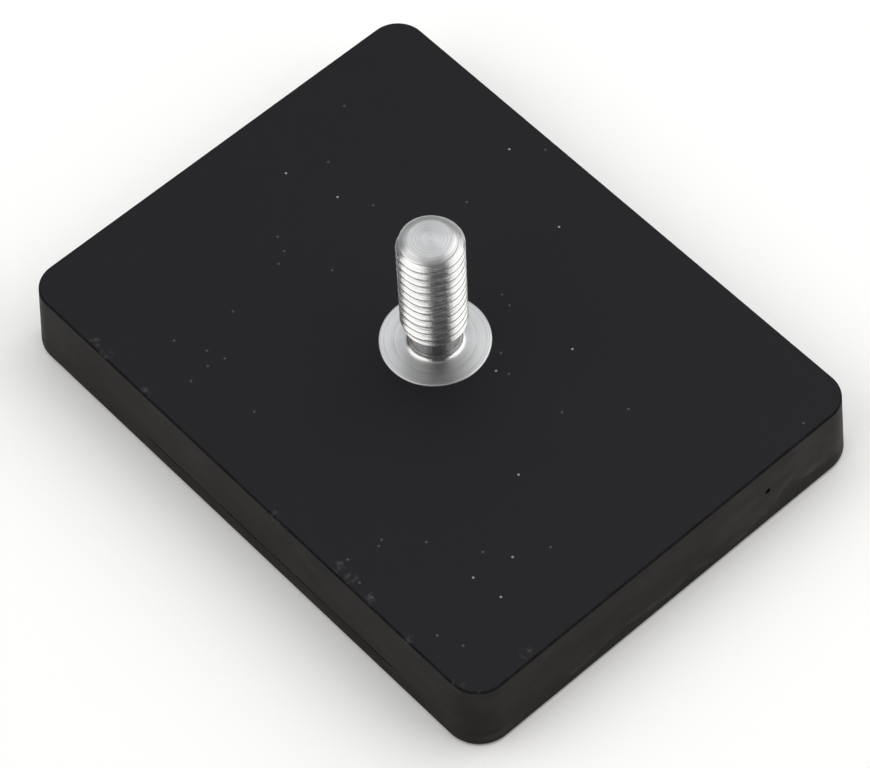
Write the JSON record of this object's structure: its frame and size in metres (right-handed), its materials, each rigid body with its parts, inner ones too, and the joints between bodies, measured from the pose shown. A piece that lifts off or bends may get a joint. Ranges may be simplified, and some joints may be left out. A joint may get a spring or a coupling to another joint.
{
  "type": "pot magnet",
  "caption": "Flat rectangular pot magnet in a moulded black rubber jacket, with a flanged threaded stud standing from the middle of its back.",
  "frame": {"origin": "middle of the magnet face, on the surface it stands on", "axes": "+X along the long side, +Y along the short side, +Z along the stud, away from the magnet face"},
  "size_m": [0.06, 0.0458, 0.0231],
  "materials": {
    "rubber": "satin",
    "stud_steel": "satin",
    "plate_steel": "matte",
    "nickel_plate": "gloss"
  },
  "bodies": {
    "root": {"rubber_jacket": "rubber", "threaded_stud": "stud_steel", "steel_plate": "plate_steel", "magnet_01": "nickel_plate", "magnet_02": "nickel_plate", "magnet_03": "nickel_plate", "magnet_04": "nickel_plate", "magnet_05": "nickel_plate", "magnet_06": "nickel_plate", "magnet_07": "nickel_plate", "magnet_08": "nickel_plate", "magnet_09": "nickel_plate", "magnet_10": "nickel_plate"}
  },
  "joints": []
}
